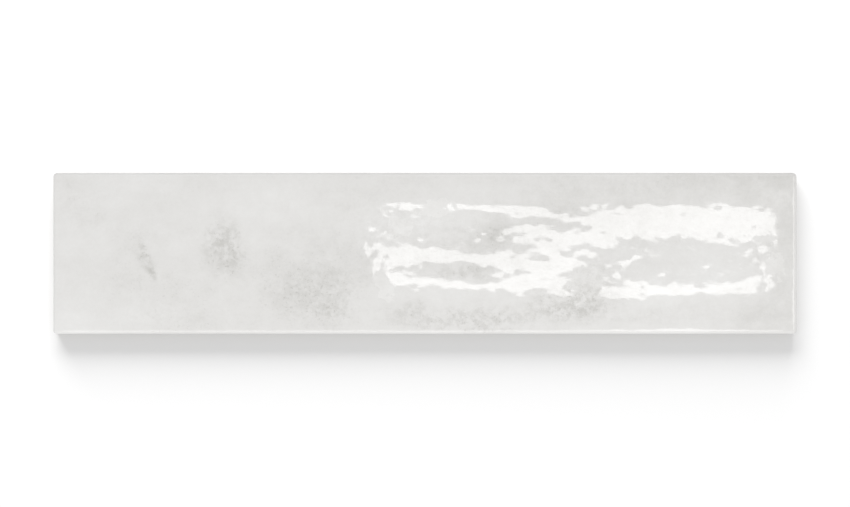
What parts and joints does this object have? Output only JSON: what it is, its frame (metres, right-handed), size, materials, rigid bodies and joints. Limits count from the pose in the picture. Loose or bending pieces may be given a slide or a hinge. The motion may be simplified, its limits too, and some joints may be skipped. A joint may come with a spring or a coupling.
{
  "type": "wall tile",
  "caption": "Long narrow ceramic wall tile with a gently waved glossy glazed face, a rolled rim, straight sides and a pocketed back that keys into adhesive.",
  "frame": {"origin": "middle of the plane that the back's ribs stand on, under the middle of the tile", "axes": "+X along the tile's length, +Y across it, +Z out of the glazed face, so that the tile lies on its back"},
  "size_m": [0.3, 0.065, 0.0087],
  "materials": {
    "glaze": "gloss"
  },
  "bodies": {
    "root": {"tile": "glaze"}
  },
  "joints": []
}
